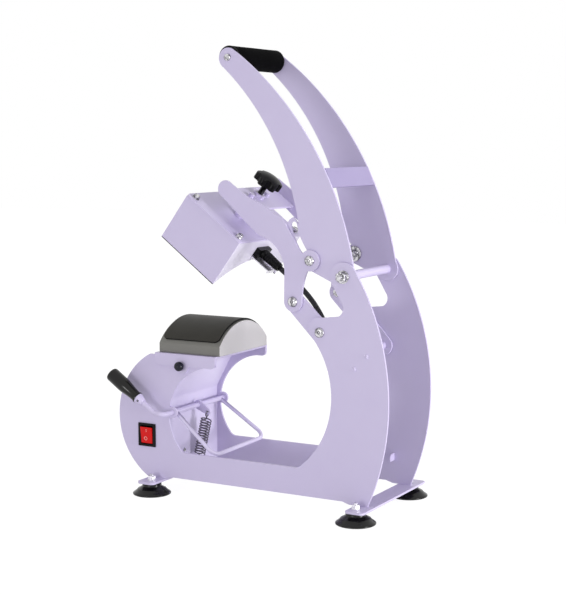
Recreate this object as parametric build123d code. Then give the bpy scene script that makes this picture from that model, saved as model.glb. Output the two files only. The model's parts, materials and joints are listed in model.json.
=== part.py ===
from build123d import *
import os
from math import asin, atan2, cos, degrees, radians, sin, sqrt

# Cap heat press.  Millimetres, +Z up.  X is across the press (+X is the operator's right),
# -Y is the operator's side with the platen, +Y is the column side.  Z = 0 is the bench.

os.makedirs("parts", exist_ok=True)

# ---- sheet layers across the press ----
SHEET = 3.0
PLATE_OUT = 66.0
PLATE_IN = PLATE_OUT - SHEET
LAYER_GAP = 0.5
ARM_OUT = PLATE_IN - LAYER_GAP
ARM_IN = ARM_OUT - SHEET

# ---- pivots, as (y, z) ----
PIVOT_C = (141.7, 307.8)
PIVOT_B = (94.2, 326.3)
PIVOT_A = (70.0, 272.9)
PIVOT_D = (108.8, 236.0)
PIVOT_E = (136.8, 205.4)
GRIP_AXIS = (-27.7, 583.3)
TENSION_AXIS = (-117.7, 111.7)

# ---- travels ----
LEVER_SWING = 36.0
ROCKER_SWING = 18.7
CARRIAGE_SWING = 37.0

# ---- side plates: circles as (y, z) centre and radius ----
LOBE_CENTRE, LOBE_R = (-107.0, 103.0), 98.0
THROAT_FRONT, THROAT_FRONT_R = (-52.1, 107.5), 69.8
THROAT_REAR, THROAT_REAR_R = (7.0, 153.4), 118.2
COLUMN_CENTRE, COLUMN_R = (-113.0, 150.0), 318.0
BEAM_TOP = 58.0
BEAM_BOTTOM = 22.0
FOOT_SEAT = 19.0
PLATE_TOP = 189.7
PLATEN_REAR = -43.0
PLATEN_FRONT = -140.0

# ---- lever arms ----
ARM_FRONT, ARM_FRONT_R = (-261.7, 314.0), 342.9
ARM_REAR, ARM_REAR_R = (-267.3, 244.1), 428.4
ARM_TIP_R = 12.6
ARM_FOOT_R = 15.9

# ---- fasteners ----
M8_SHAFT = 4.0
M6_SHAFT = 3.0
M4_SHAFT = 2.2
M3_SHAFT = 1.5
PIN_FIT = 0.08
SLOT_BUSH_R = 4.0
SLOT_FIT = 0.15
SLOT_OVERRUN = 0.02
TOE_R = 9.6
AXLE_WASHER = 1.6
PIVOT_TUBE_R = 6.0
LINK_R = 13.5
STOP_SCREWS = ((157.7, 193.3), (174.8, 210.2))
PANEL_SCREW = (22.0, 51.0)
STOP_THICK = 4.0

# ---- feet: bars across the press on suction cups ----
FOOT_X = 79.0
FOOT_Y = (-142.8, 167.1)
FOOT_BAR_Z = 16.0
FOOT_BAR_HALF = 96.5
FOOT_BAR_WIDE = 26.7
FOOT_BAR_SHIFT = (0.0, 5.0)
FEET = [(x, y) for y in FOOT_Y for x in (-FOOT_X, FOOT_X)]

# ---- cross panel and front cover ----
PANEL_Y = -128.0
PANEL_THICK = 1.5
GROMMET_AT = (38.0, 33.0)
GROMMET_R = 6.0
COVER_R = 94.5
COVER_THICK = 1.5
COVER_START, COVER_END = 118.5, 237.5
DISPLAY_ANGLE = 146.0
DISPLAY_SIZE = (56.0, 22.0)
BUTTON_ANGLE = 165.0
BUTTON_X = (-24.0, 0.0, 24.0)
BUTTON_R = 4.5
BOARD_ANGLE = 156.0
BOARD_R = 77.0

# ---- switch and mains inlet, as (y, z) on the side plates ----
SWITCH_AT = (-158.5, 77.2)
SWITCH_PIVOT_X = 66.5
SWITCH_TILT = 7.0
INLET_AT = (-155.0, 64.0)

# ---- lower platen and pad ----
PAD_R = 82.6
PAD_THICK = 2.5
PAD_HALF = 59.8
PAD_CORNER_R = 7.0
PAD_CENTRE_Z = 154.8
PLATEN_R = PAD_R - PAD_THICK
PLATEN_WALL = 6.0
PLATEN_HALF = 62.0
PLATEN_BASE_Z = 192.7
PLATEN_LONG = PLATEN_REAR - PLATEN_FRONT
SADDLE_THICK = 2.2
FLANGE_LOW = 176.2
CLAMP_AT = (-100.0, 177.3)
CLAMP_BALL_R = 6.5
CLAMP_BALL_X = 74.2

# ---- cap tension lever, its wire bail and its spring ----
SHAFT_R = 3.5
SHAFT_END = -71.5
TENSION_ARM_X = 86.0
TENSION_ELBOW = (-133.5, 113.8)
TENSION_GRIP_END = (-201.9, 160.8)
FERRULE_FROM, FERRULE_TO = 20.5, 31.5
GRIP_LONG = 53.0
GRIP_R = 9.7
GRIP_NECK_R = 7.4
BAIL_X = 56.0
BAIL_NEAR = (-57.0, 57.0)
BAIL_FAR = (-43.0, 64.5)
BAIL_R = 2.75
SPRING_HOLE = (-102.5, 103.5)
SPRING_FOOT = (-119.5, 30.0)
SPRING_R = 6.4
SPRING_WIRE_R = 1.0
SPRING_PITCH = 4.2
SPRING_TURNS = 13
SPRING_EYE_R = 3.6
ANCHOR_AT = (-119.5, 29.1)

# ---- lever grip and brace ----
BRACE_TOP = (112.0, 442.2)
BRACE_FOOT = (122.0, 418.2)
FOAM_R = 14.0
GRIP_CAP_R = 15.2
GRIP_CAP_THICK = 1.6
GRIP_TUBE_R = 10.0

# ---- head, in its own frame: x across, t along its length (rear is +), n up its axis ----
HEAD_TILT = 37.0
HEAD_BASE = (-80.5, 321.75)
HEAD_HALF_X = 81.5
HEAD_HALF_T = 50.0
HEAD_HIGH = 68.0
HEAD_WALL = 1.5
HEAD_ARCH_RISE = 35.6
LID_THICK = 2.0
LID_TOP = HEAD_HIGH + LID_THICK
HOT_R = 87.6
HOT_THICK = 8.0
HOT_CENTRE_N = -52.1
MAT_THICK = 2.5
BRIDGE_N = 98.0
BOLT_X = 73.0
BOLT_T = 41.0
BOLT_R = 2.5
HEAD_BOLTS = [(x, t) for x in (-BOLT_X, BOLT_X) for t in (-BOLT_T, BOLT_T)]
SCREW_R = 4.0
COLLAR_R = 9.0
GUIDE_X = 20.0
GUIDE_R = 4.0
KNOB_N = 122.0
KNOB_THICK = 14.0
KNOB_DOME_R = 42.0
KNOB_LOBES = 6

# ---- heater lead ----
GLAND_X = 10.0
GLAND_N = 50.0
GLAND_SLEEVE = (57.0, 87.0)
LEAD_R = 3.5


# ---- helpers ----
def polar(centre, radius, angle):
    return (centre[0] + radius * cos(radians(angle)), centre[1] + radius * sin(radians(angle)))


def angle_of(centre, point):
    return degrees(atan2(point[1] - centre[1], point[0] - centre[0]))


def arc(centre, radius, start, end):
    return (polar(centre, radius, (start + end) / 2), polar(centre, radius, end))


def outline(start, *steps):
    # a closed profile: a step is a point for a straight side, or (via, end) for an arc
    edges = []
    here = start
    for step in steps + (start,):
        if isinstance(step[0], tuple):
            edges.append(ThreePointArc(here, step[0], step[1]))
            here = step[1]
        elif step != here:
            edges.append(Line(here, step))
            here = step
    return make_face(edges)


def sheet(profile, x_start, thick=SHEET):
    # a (y, z) profile cut from sheet that lies across X
    return extrude(Plane.YZ.offset(x_start) * profile, amount=thick)


def rod(x_start, x_end, place, radius):
    middle = Pos((x_start + x_end) / 2, place[0], place[1])
    return middle * Rot(0, 90, 0) * Cylinder(radius, x_end - x_start)


def hexagon(x_start, thick, place, flats):
    profile = Pos(place[0], place[1]) * RegularPolygon(flats / sqrt(3), 6)
    return sheet(profile, x_start, thick)


def left(part):
    return part.mirror(Plane.YZ)


def tube_path(points, radii, radius):
    path = FilletPolyline(*points, radius=radii)
    section = Plane(origin=path @ 0, z_dir=path % 0) * Circle(radius)
    return sweep(section, path=path)


def bent_strip(points, radius, thick, x_start, x_end):
    path = FilletPolyline(*points, radius=radius)
    return sheet(trace(path, thick), x_start, x_end - x_start)


def block(x, y, z):
    # a box from three (low, high) pairs
    size = [high - low for low, high in (x, y, z)]
    middle = [(high + low) / 2 for low, high in (x, y, z)]
    return Pos(*middle) * Box(*size)


def save(name, *parts):
    solids = []
    for part in parts:
        solids += list(part.solids())
    shape = solids[0] if len(solids) == 1 else Compound(solids)
    shape.label = name
    export_step(shape, f"parts/{name}.step")


# ---- side plates ----
def plate_outline():
    seat_rear = COLUMN_CENTRE[0] + sqrt(COLUMN_R**2 - (FOOT_SEAT - COLUMN_CENTRE[1]) ** 2)
    column_low = angle_of(COLUMN_CENTRE, (seat_rear, FOOT_SEAT))
    column_high = angle_of(COLUMN_CENTRE, PIVOT_C)
    horn_r = COLUMN_R - sqrt(sum((PIVOT_C[i] - COLUMN_CENTRE[i]) ** 2 for i in (0, 1)))
    lobe_top = 180 - degrees(asin((PLATE_TOP - LOBE_CENTRE[1]) / LOBE_R))
    lobe_foot = 180 - degrees(asin((FOOT_SEAT - LOBE_CENTRE[1]) / LOBE_R))
    throat_low = polar(THROAT_REAR, THROAT_REAR_R, -50.6)
    front_low = polar(THROAT_FRONT, THROAT_FRONT_R, 218.6)
    return outline(
        (-117.0, BEAM_BOTTOM),
        (141.0, BEAM_BOTTOM),
        (151.0, FOOT_SEAT),
        (seat_rear, FOOT_SEAT),
        arc(COLUMN_CENTRE, COLUMN_R, column_low, column_high),
        arc(PIVOT_C, horn_r, column_high, 205),
        (139.0, 276.0),
        ((141.6, 266.5), (134.5, 257.5)),
        (112.0, 254.9),
        ((97.0, 250.0), polar(THROAT_REAR, THROAT_REAR_R, 42)),
        arc(THROAT_REAR, THROAT_REAR_R, 42, -50.6),
        ((throat_low[0] - 5, BEAM_TOP + 0.9), (throat_low[0] - 12, BEAM_TOP)),
        (-95.0, BEAM_TOP),
        ((-102.4, BEAM_TOP + 1.7), front_low),
        arc(THROAT_FRONT, THROAT_FRONT_R, 218.6, 100),
        (PLATEN_REAR - 3.4, 179.0),
        (PLATEN_REAR - 3.4, PLATE_TOP),
        polar(LOBE_CENTRE, LOBE_R, lobe_top),
        arc(LOBE_CENTRE, LOBE_R, lobe_top, lobe_foot),
        (-127.0, FOOT_SEAT),
    )


def side_plate():
    eye = Pos(*TENSION_AXIS) * Circle(8.0)
    profile = plate_outline() + eye
    for place, radius in (
        (PIVOT_C, M8_SHAFT),
        (PIVOT_D, M6_SHAFT),
        (TENSION_AXIS, SHAFT_R + PIN_FIT),
        (CLAMP_AT, M4_SHAFT),
    ):
        profile -= Pos(*place) * Circle(radius)
    return profile


def plate_right():
    profile = side_plate() - Pos(*SWITCH_AT) * Rectangle(26, 30)
    for place in STOP_SCREWS:
        profile -= Pos(*place) * Circle(M3_SHAFT)
    return sheet(profile, PLATE_IN)


def plate_left():
    profile = side_plate() - Pos(*INLET_AT) * Rectangle(28, 21)
    tab = Pos(-56.5, 152.7, 55.6) * Box(13, SHEET / 2, 9.6)
    tab -= Pos(-50.0, 152.7, 60.4) * Rot(0, 45, 0) * Box(5, 4, 5)
    return sheet(profile, -PLATE_OUT) + tab


save("side_plate_right", plate_right())
save("side_plate_left", plate_left())


# ---- feet ----
def foot_bar(y, shift):
    profile = Pos(0, shift) * Rectangle(2 * FOOT_BAR_HALF, FOOT_BAR_WIDE)
    profile = fillet(profile.vertices(), 6.0)
    for side in (-FOOT_X, FOOT_X):
        profile -= Pos(side, 0) * Circle(M8_SHAFT)
    return Pos(0, y, FOOT_BAR_Z) * extrude(profile, amount=SHEET)


def suction_foot(x, y):
    cup = Plane.XZ * outline(
        (0.0, 4.0),
        (12.0, 3.4),
        (22.0, 0.0),
        (25.4, 0.0),
        (26.0, 1.6),
        ((22.4, 7.4), (15.5, 10.4)),
        (13.0, 10.8),
        (13.0, FOOT_BAR_Z),
        (M8_SHAFT, FOOT_BAR_Z),
        (M8_SHAFT, 10.0),
        (0.0, 10.0),
    )
    return Pos(x, y, 0) * revolve(cup, Axis.Z)


def foot_bolt(x, y):
    nut = extrude(RegularPolygon(13 / sqrt(3), 6), amount=6.5) + Pos(0, 0, 0.6) * Cylinder(8.0, 1.2)
    stud = Pos(0, 0, (28 + 10) / 2) * Cylinder(M8_SHAFT, 18)
    return Pos(x, y, 0) * (stud + Pos(0, 0, FOOT_BAR_Z + SHEET) * nut)


save("foot_bar_front", foot_bar(FOOT_Y[0], FOOT_BAR_SHIFT[0]))
save("foot_bar_rear", foot_bar(FOOT_Y[1], FOOT_BAR_SHIFT[1]))
save("suction_feet", *[suction_foot(x, y) for x, y in FEET])
save("foot_bolts", *[foot_bolt(x, y) for x, y in FEET])


# ---- cross panel, front cover and what they carry ----
def cross_panel():
    route = ((PANEL_Y, 24.0), (PANEL_Y, 128.0), (-105.0, 170.0), (-91.0, 188.9))
    panel = bent_strip(route, 14.0, PANEL_THICK, -PLATE_IN, PLATE_IN)
    hole = Pos(GROMMET_AT[0], PANEL_Y, GROMMET_AT[1]) * Rot(90, 0, 0) * Cylinder(GROMMET_R, 6)
    eye_hole = Pos(0, PANEL_Y, ANCHOR_AT[1]) * Rot(90, 0, 0) * Cylinder(2.0, 6)
    screw_hole = Pos(PANEL_SCREW[0], PANEL_Y, PANEL_SCREW[1]) * Rot(90, 0, 0) * Cylinder(M3_SHAFT, 6)
    return panel - hole - eye_hole - screw_hole


def lead_grommet():
    barrel = Cylinder(GROMMET_R, PANEL_THICK)
    flanges = Pos(0, 0, 1.75) * Cylinder(8.5, 2.0) + Pos(0, 0, -1.75) * Cylinder(8.5, 2.0)
    ring = barrel + flanges - Cylinder(LEAD_R, 12)
    return Pos(GROMMET_AT[0], PANEL_Y, GROMMET_AT[1]) * Rot(90, 0, 0) * ring


def cover_plane(angle, radius):
    # a plane tangent to the cover, its normal pointing out of the press
    place = polar(LOBE_CENTRE, radius, angle)
    normal = (0, cos(radians(angle)), sin(radians(angle)))
    return Plane(origin=(0, place[0], place[1]), x_dir=(1, 0, 0), z_dir=normal)


def front_cover():
    inner = COVER_R - COVER_THICK
    profile = outline(
        polar(LOBE_CENTRE, COVER_R, COVER_START),
        arc(LOBE_CENTRE, COVER_R, COVER_START, COVER_END),
        polar(LOBE_CENTRE, inner, COVER_END),
        arc(LOBE_CENTRE, inner, COVER_END, COVER_START),
    )
    cover = sheet(profile, -PLATE_IN, 2 * PLATE_IN)
    cover -= cover_plane(DISPLAY_ANGLE, COVER_R) * Box(*DISPLAY_SIZE, 8)
    for x in BUTTON_X:
        cover -= cover_plane(BUTTON_ANGLE, COVER_R) * Pos(x, 0, 0) * Cylinder(BUTTON_R + 0.4, 8)
    return cover


def control_board():
    board = Box(104, 60, 1.6)
    screen = Pos(0, 17, 5.2) * Box(64, 26, 8.8)
    relay = Pos(-38, -16, -8.3) * Box(18, 14, 15)
    parts = board + screen + relay
    return cover_plane(BOARD_ANGLE, BOARD_R) * parts


def display_window():
    pane = Box(DISPLAY_SIZE[0] - 0.2, DISPLAY_SIZE[1] - 0.2, 2.0)
    return cover_plane(DISPLAY_ANGLE, COVER_R - 1.6) * pane


def push_button(x):
    cap = Pos(0, 0, -1.0) * Cylinder(BUTTON_R, 7.0)
    cap += Pos(0, 0, -4.0) * Cylinder(BUTTON_R + 1.2, 1.2)
    cap = fillet(cap.edges().group_by(Axis.Z)[-1], 0.8)
    return cover_plane(BUTTON_ANGLE, COVER_R) * Pos(x, 0, 0) * cap


def relay_module():
    body = block((-30, 30), (-151.0, -131.75), (62, 104))
    base = block((-34, 34), (-131.75, -128.75), (58, 108))
    return body + base


def around(place, half_y, half_z):
    # the (low, high) pairs in y and z of a box about a (y, z) place
    return (place[0] - half_y, place[0] + half_y), (place[1] - half_z, place[1] + half_z)


def power_inlet():
    flange = block((-69, -66), *around(INLET_AT, 25, 12))
    flange = fillet(flange.edges().filter_by(Axis.X), 3.0)
    shell = block((-66, -44), *around(INLET_AT, 14, 10.5))
    socket = block((-70, -52), *around(INLET_AT, 12, 8))
    body = flange + shell - socket
    for dy, dz in ((-7, -2), (0, 2), (7, -2)):
        body += block((-60, -52), *around((INLET_AT[0] + dy, INLET_AT[1] + dz), 1, 2))
    return body


def switch_housing():
    bezel = block((PLATE_OUT, PLATE_OUT + 2), *around(SWITCH_AT, 14, 16))
    body = block((44, PLATE_OUT), *around(SWITCH_AT, 13, 15))
    pocket = block((56, 70), *around(SWITCH_AT, 9.6, 12.6))
    return bezel + body - pocket


def switch_rocker():
    face = Plane.XZ * outline((-4.0, -9.0), (2.6, -11.6), (2.4, 0.0), (2.6, 11.6), (-4.0, 9.0))
    key = extrude(face, amount=9.2, both=True)
    return Pos(SWITCH_PIVOT_X, *SWITCH_AT) * Rot(0, SWITCH_TILT, 0) * key


save("cross_panel", cross_panel())
save("lead_grommet", lead_grommet())
save("front_cover", front_cover())
save("control_board", control_board())
save("display_window", display_window())
for number, button_x in enumerate(BUTTON_X, 1):
    save(f"push_button_{number}", push_button(button_x))
save("relay_module", relay_module())
save("power_inlet", power_inlet())
save("switch_housing", switch_housing())
save("switch_rocker", switch_rocker())


# ---- saddle, lower platen and pad ----
def platen_saddle():
    front, rear = PLATEN_FRONT - 3, PLATEN_REAR - 3.8
    outer_x = PLATE_OUT + SADDLE_THICK
    top = block((-outer_x, outer_x), (front, rear), (PLATE_TOP, PLATEN_BASE_Z))
    flange = outline(
        (front, PLATE_TOP),
        (front, 184.0),
        ((front + 2.3, 178.5), (front + 8, FLANGE_LOW)),
        (CLAMP_AT[0] - 11, FLANGE_LOW),
        ((CLAMP_AT[0], CLAMP_AT[1] - 11), (CLAMP_AT[0] + 11, FLANGE_LOW)),
        (rear - 8, FLANGE_LOW),
        ((rear - 2.3, 178.5), (rear, 184.0)),
        (rear, PLATE_TOP),
    )
    flange -= Pos(*CLAMP_AT) * Circle(M4_SHAFT)
    side = sheet(flange, PLATE_OUT, SADDLE_THICK)
    return top + side + left(side)


def sector(inner, outer, half_angle, centre_z):
    # part of a ring in the X-Z plane, open downwards
    start, end = 90 + half_angle, 90 - half_angle
    return outline(
        polar((0, centre_z), outer, start),
        arc((0, centre_z), outer, start, end),
        polar((0, centre_z), inner, end),
        arc((0, centre_z), inner, end, start),
    )


def along_y(profile, y_start, length):
    return extrude(Plane.XZ.offset(-y_start) * profile, amount=-length)


def lower_platen():
    shoulder = PAD_CENTRE_Z + sqrt(PLATEN_R**2 - PLATEN_HALF**2)
    top = PAD_CENTRE_Z + PLATEN_R
    profile = outline(
        (-PLATEN_HALF, PLATEN_BASE_Z),
        (-PLATEN_HALF, shoulder),
        ((0.0, top), (PLATEN_HALF, shoulder)),
        (PLATEN_HALF, PLATEN_BASE_Z),
    )
    body = along_y(profile, PLATEN_FRONT, PLATEN_LONG)
    inner_r = PLATEN_R - PLATEN_WALL
    inner_half = PLATEN_HALF - 5
    inner_shoulder = PAD_CENTRE_Z + sqrt(inner_r**2 - inner_half**2)
    cavity = outline(
        (-inner_half, PLATEN_BASE_Z),
        (-inner_half, inner_shoulder),
        ((0.0, PAD_CENTRE_Z + inner_r), (inner_half, inner_shoulder)),
        (inner_half, PLATEN_BASE_Z),
    )
    return body - along_y(cavity, PLATEN_FRONT + 5, PLATEN_LONG - 10)


def platen_pad():
    half = degrees(asin(PAD_HALF / PAD_R))
    pad = along_y(sector(PLATEN_R, PAD_R, half, PAD_CENTRE_Z), PLATEN_FRONT + 4, PLATEN_LONG - 8)
    corners = [edge for edge in pad.edges().filter_by(GeomType.LINE) if edge.length < PAD_THICK + 0.1]
    return fillet(corners, PAD_CORNER_R)


def clamp_knob():
    ball = Pos(CLAMP_BALL_X, *CLAMP_AT) * Sphere(CLAMP_BALL_R)
    ball &= rod(69.0, 90.0, CLAMP_AT, 2 * CLAMP_BALL_R)
    return ball + rod(63.2, 70.0, CLAMP_AT, 2.0)


save("platen_saddle", platen_saddle())
save("lower_platen", lower_platen())
save("platen_pad", platen_pad())
save("clamp_knob", clamp_knob())


# ---- cap tension lever ----
def tension_shaft():
    y, z = TENSION_AXIS
    along = Vector(0, TENSION_GRIP_END[0] - TENSION_ELBOW[0], TENSION_GRIP_END[1] - TENSION_ELBOW[1])
    tip = Vector(TENSION_ARM_X, *TENSION_ELBOW) + along.normalized() * (FERRULE_TO + 15)
    path = [(SHAFT_END, y, z), (TENSION_ARM_X, y, z), (TENSION_ARM_X, *TENSION_ELBOW), tuple(tip)]
    return tube_path(path, (7.0, 7.0), SHAFT_R)


def along_grip(distance, length, radius, end_radius):
    y = TENSION_GRIP_END[0] - TENSION_ELBOW[0]
    z = TENSION_GRIP_END[1] - TENSION_ELBOW[1]
    start = Vector(TENSION_ARM_X, *TENSION_ELBOW)
    plane = Plane(origin=start, x_dir=(1, 0, 0), z_dir=(0, y, z))
    return plane * Pos(0, 0, distance + length / 2) * Cone(radius, end_radius, length)


def tension_ferrule():
    socket = along_grip(FERRULE_FROM, FERRULE_TO - FERRULE_FROM, 4.6, 6.6)
    return socket - tension_shaft()


def tension_grip():
    taper = 0.42 * GRIP_LONG
    grip = along_grip(FERRULE_TO, 1.6, GRIP_NECK_R + 0.8, GRIP_NECK_R)
    grip += along_grip(FERRULE_TO + 1.6, taper, GRIP_NECK_R, GRIP_R)
    grip += along_grip(FERRULE_TO + 1.6 + taper, GRIP_LONG - taper - 1.6, GRIP_R, GRIP_R - 0.2)
    end = grip.edges().filter_by(GeomType.CIRCLE).sort_by(Axis.Y)[0]
    return fillet(end, 2.4) - tension_shaft()


def cap_bail():
    y, z = TENSION_AXIS
    route = [
        (BAIL_X, y, z),
        (BAIL_X, *BAIL_NEAR),
        (-BAIL_X, *BAIL_FAR),
        (-BAIL_X, y, z),
    ]
    return tube_path(route, 14.0, BAIL_R) - rod(-62, 62, TENSION_AXIS, SHAFT_R)


def spring_lug():
    ring = Pos(*TENSION_AXIS) * Circle(6.5)
    tab = Pos(*SPRING_HOLE) * Circle(4.6)
    profile = make_hull(ring.edges() + tab.edges())
    profile -= Pos(*TENSION_AXIS) * Circle(SHAFT_R)
    profile -= Pos(*SPRING_HOLE) * Circle(2.0)
    return sheet(profile, -1.5, 3.0)


def tension_spring():
    top = Vector(0, *SPRING_HOLE)
    foot = Vector(0, *SPRING_FOOT)
    line = foot - top
    plane = Plane(origin=top, x_dir=(1, 0, 0), z_dir=line)
    high = SPRING_PITCH * SPRING_TURNS
    first = (line.length - high) / 2
    path = Helix(SPRING_PITCH, high, SPRING_R)
    wire = sweep(Plane(origin=path @ 0, z_dir=path % 0) * Circle(SPRING_WIRE_R), path, is_frenet=True)
    spring = Pos(0, 0, first) * wire
    for end, into in ((0.0, 1), (line.length, -1)):
        centre = end + into * SPRING_EYE_R
        bar_at = first if into > 0 else first + high
        stem = abs(bar_at - centre) - SPRING_EYE_R
        spring += Pos(0, 0, centre) * Rot(90, 0, 0) * Torus(SPRING_EYE_R, SPRING_WIRE_R)
        spring += Pos(0, 0, bar_at - into * stem / 2) * Cylinder(SPRING_WIRE_R, stem)
        spring += Pos(SPRING_R / 2, 0, bar_at) * Rot(0, 90, 0) * Cylinder(SPRING_WIRE_R, SPRING_R)
    return plane * spring


def spring_anchor():
    eye = Pos(0, *ANCHOR_AT) * Rot(0, 90, 0) * Torus(SPRING_EYE_R, 1.2)
    stem = Pos(0, PANEL_Y + 0.7, ANCHOR_AT[1]) * Rot(90, 0, 0) * Cylinder(1.9, 7.5)
    nut = Pos(0, PANEL_Y - 2.0, ANCHOR_AT[1]) * Rot(90, 0, 0) * Cylinder(4.0, 2.4)
    return eye + stem + nut


save("tension_shaft", tension_shaft())
save("tension_ferrule", tension_ferrule())
save("tension_grip", tension_grip())
save("cap_bail", cap_bail())
save("spring_lug", spring_lug())
save("tension_spring", tension_spring())
save("spring_anchor", spring_anchor())


# ---- lever arms ----
def turn(vector, angle):
    c, s = cos(radians(angle)), sin(radians(angle))
    return (c * vector[0] - s * vector[1], s * vector[0] + c * vector[1])


def bush_in_lever(part_way):
    # where the slot bush at B stands in the lever's frame, part_way through the closing swing
    arm = turn([PIVOT_A[i] - PIVOT_D[i] for i in (0, 1)], ROCKER_SWING * part_way)
    link = turn([PIVOT_B[i] - PIVOT_A[i] for i in (0, 1)], CARRIAGE_SWING * part_way)
    offset = [PIVOT_D[i] + arm[i] + link[i] - PIVOT_C[i] for i in (0, 1)]
    back = turn(offset, -LEVER_SWING * part_way)
    return (PIVOT_C[0] + back[0], PIVOT_C[1] + back[1])


def lever_outline():
    tip_front = angle_of(ARM_FRONT, GRIP_AXIS)
    tip_rear = angle_of(ARM_REAR, GRIP_AXIS)
    front_low = degrees(asin((372.0 - ARM_FRONT[1]) / ARM_FRONT_R))
    rear_low = angle_of(ARM_REAR, (154.4, 318.0))
    slot_end = bush_in_lever(1.0)
    tip_at_front = polar(GRIP_AXIS, ARM_TIP_R, tip_front + 180)
    tip_at_rear = polar(GRIP_AXIS, ARM_TIP_R, tip_rear)
    front_start = angle_of(ARM_FRONT, tip_at_front)
    rear_start = angle_of(ARM_REAR, tip_at_rear)
    return outline(
        polar(ARM_FRONT, ARM_FRONT_R, front_low),
        arc(ARM_FRONT, ARM_FRONT_R, front_low, front_start),
        (polar(GRIP_AXIS, ARM_TIP_R, (tip_front + tip_rear) / 2 + 90), tip_at_rear),
        (polar(ARM_REAR, ARM_REAR_R, (rear_start + rear_low) / 2), polar(ARM_REAR, ARM_REAR_R, rear_low)),
        (polar(PIVOT_C, ARM_FOOT_R, -45), polar(PIVOT_C, ARM_FOOT_R, 222)),
        (97.0, 311.8),
        ((90.0, 315.6), (84.6, 321.2)),
        ((69.2, 343.0), (slot_end[0] - TOE_R, slot_end[1] - 3.0)),
        (polar(slot_end, TOE_R + 0.6, 135), (slot_end[0] - 1.0, slot_end[1] + TOE_R + 1.2)),
    )


def slot_profile():
    ends = [bush_in_lever(-SLOT_OVERRUN), bush_in_lever(0.5), bush_in_lever(1 + SLOT_OVERRUN)]
    return SlotArc(ThreePointArc(*ends), 2 * (SLOT_BUSH_R + SLOT_FIT))


def lever_arm():
    profile = lever_outline() - slot_profile()
    profile -= Pos(*PIVOT_C) * Circle(M8_SHAFT + PIN_FIT)
    profile -= Pos(*GRIP_AXIS) * Circle(M8_SHAFT)
    return sheet(profile, ARM_IN)


def lever_brace():
    middle = [(BRACE_TOP[i] + BRACE_FOOT[i]) / 2 for i in (0, 1)]
    lean = angle_of(BRACE_FOOT, BRACE_TOP) - 90
    profile = Pos(*middle) * Rot(0, 0, lean) * Rectangle(SHEET, 26)
    return sheet(profile, -ARM_IN, 2 * ARM_IN)


def button_head(x_start, place, radius, thick, socket_flats):
    # a low round head with a hexagon socket
    head = rod(x_start, x_start + thick, place, radius)
    rim = head.edges().filter_by(GeomType.CIRCLE).sort_by(Axis.X)[-1]
    return fillet(rim, 0.45 * thick) - hexagon(x_start + thick / 2, thick, place, socket_flats)


def grip_bolt():
    return button_head(ARM_OUT, GRIP_AXIS, 4.9, 2.8, 3.0) + rod(40, ARM_OUT, GRIP_AXIS, M8_SHAFT)


def lever_grip():
    end = ARM_IN - 0.4
    foam = rod(-end, end, GRIP_AXIS, FOAM_R)
    cap = rod(end - GRIP_CAP_THICK, end, GRIP_AXIS, GRIP_CAP_R)
    return foam + cap + left(cap) - rod(-ARM_IN, ARM_IN, GRIP_AXIS, GRIP_TUBE_R)


save("lever_arm_right", lever_arm())
save("lever_arm_left", left(lever_arm()))
save("lever_brace", lever_brace())
save("grip_tube", rod(-ARM_IN, ARM_IN, GRIP_AXIS, GRIP_TUBE_R) - rod(-ARM_IN, ARM_IN, GRIP_AXIS, M8_SHAFT))
save("lever_grip", lever_grip())
save("grip_bolts", grip_bolt(), left(grip_bolt()))


# ---- pivots ----
def lever_axle():
    washer = rod(PLATE_OUT, PLATE_OUT + AXLE_WASHER, PIVOT_C, 8.4)
    nut = hexagon(PLATE_OUT + AXLE_WASHER, 6.5, PIVOT_C, 13)
    ends = washer + nut + rod(PLATE_OUT, PLATE_OUT + 10.6, PIVOT_C, M8_SHAFT)
    return rod(-PLATE_OUT, PLATE_OUT, PIVOT_C, M8_SHAFT) + ends + left(ends)


def pivot_bolt(place, x_nut):
    head = button_head(PLATE_OUT, place, 6.8, 3.8, 4.0)
    return head + rod(x_nut, PLATE_OUT, place, M6_SHAFT) + hexagon(x_nut - 5.0, 5.0, place, 10)


def pin_link(x_start):
    rings = [Pos(*place) * Circle(LINK_R) for place in (PIVOT_A, PIVOT_D, PIVOT_E)]
    profile = make_hull(rings[0].edges() + rings[1].edges() + rings[2].edges())
    profile -= Pos(*PIVOT_A) * Circle(M6_SHAFT + PIN_FIT)
    profile -= Pos(*PIVOT_D) * Circle(M6_SHAFT + PIN_FIT)
    profile -= Pos(*PIVOT_E) * Circle(M6_SHAFT)
    return sheet(profile, x_start)


def rocker_tie():
    return rod(-ARM_OUT, ARM_OUT, PIVOT_E, M6_SHAFT) + rod(-ARM_IN, ARM_IN, PIVOT_E, 5.0)


def stop_block():
    middle = [(STOP_SCREWS[0][i] + STOP_SCREWS[1][i]) / 2 for i in (0, 1)]
    lean = angle_of(*STOP_SCREWS)
    profile = Pos(*middle) * Rot(0, 0, lean) * RectangleRounded(32, 18, 4)
    for place in STOP_SCREWS:
        profile -= Pos(*place) * Circle(M3_SHAFT)
    return sheet(profile, PLATE_IN - STOP_THICK, STOP_THICK)


def stop_screw(place):
    head = rod(PLATE_OUT, PLATE_OUT + 1.8, place, 2.7)
    return head + rod(PLATE_IN - STOP_THICK, PLATE_OUT, place, M3_SHAFT)


def panel_screw():
    place = Pos(PANEL_SCREW[0], PANEL_Y, PANEL_SCREW[1]) * Rot(-90, 0, 0)
    head = Pos(0, 0, PANEL_THICK / 2 + 0.9) * Cylinder(2.7, 1.8)
    return place * (head + Cylinder(M3_SHAFT, 2 * PANEL_THICK))


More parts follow.
